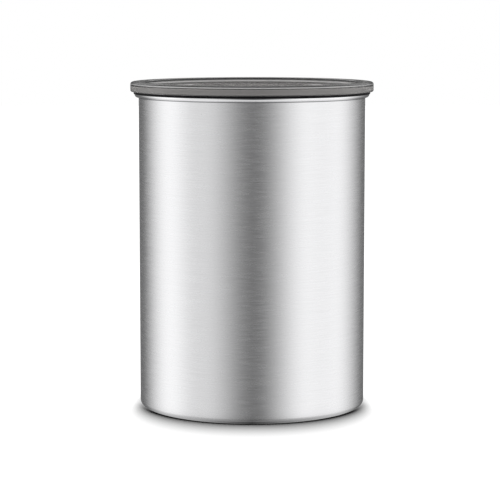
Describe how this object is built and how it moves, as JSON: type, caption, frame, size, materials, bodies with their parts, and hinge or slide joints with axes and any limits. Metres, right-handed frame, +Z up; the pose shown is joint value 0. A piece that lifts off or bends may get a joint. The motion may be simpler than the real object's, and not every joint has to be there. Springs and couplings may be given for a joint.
{
  "type": "vacuum seal canister",
  "caption": "Steel food canister with a rolled rim, a smoked clear outer lid, and a plunging inner lid whose folding bail opens and shuts an air valve.",
  "frame": {"origin": "centre of the foot ring, on the surface that the canister stands on", "axes": "+Z up along the canister's axis; the folded bail's grip lies towards +Y, and its pivot line runs along X"},
  "size_m": [0.1202, 0.1202, 0.1612],
  "materials": {
    "brushed_steel": "stainless steel brushed in fine rings round the body",
    "bright_steel": "bright stainless wire and fasteners",
    "smoked_plastic": "clear plastic with a grey smoke tint, polished",
    "black_plastic": "fine satin moulded black plastic",
    "grey_plastic": "satin moulded grey plastic",
    "white_plastic": "natural acetal, turned or moulded",
    "black_silicone": "soft black silicone",
    "grey_silicone": "soft grey silicone"
  },
  "bodies": {
    "canister": {"canister_body": "brushed_steel"},
    "lid": {"outer_lid": "smoked_plastic", "outer_lid_seal": "black_silicone"},
    "inner_lid": {"inner_lid_shell": "black_plastic", "inner_lid_gasket": "grey_silicone", "inner_lid_base": "black_plastic", "base_screws": "bright_steel", "chamber_o_ring": "black_silicone", "seat_o_ring": "black_silicone", "valve_seat": "white_plastic", "valve_screen": "bright_steel", "screen_snap_ring": "bright_steel", "valve_cage": "grey_plastic", "valve_spring": "bright_steel"},
    "bail": {"handle_bail": "bright_steel", "valve_cam_left": "white_plastic", "valve_cam_right": "white_plastic"},
    "valve": {"valve_stem": "white_plastic", "valve_disc": "grey_silicone", "valve_lifter": "grey_plastic"}
  },
  "joints": [
    {"name": "outer_lid_lift", "type": "slide", "parent": "canister", "child": "lid", "axis": [0, 0, 1], "range_m": [0, 0.03]},
    {"name": "inner_lid_plunge", "type": "slide", "parent": "canister", "child": "inner_lid", "axis": [0, 0, -1], "range_m": [0, 0.088]},
    {"name": "bail_fold", "type": "hinge", "parent": "inner_lid", "child": "bail", "pos_m": [0, 0, 0.1162], "axis": [1, 0, 0], "range_deg": [0, 90]},
    {"name": "valve_lift", "type": "slide", "parent": "inner_lid", "child": "valve", "axis": [0, 0, 1], "range_m": [0, 0.002], "deforming": ["valve_spring"]}
  ],
  "couplings": [
    {"joint": "valve_lift", "follows": "bail_fold", "m_per_rad": 0.001273}
  ]
}
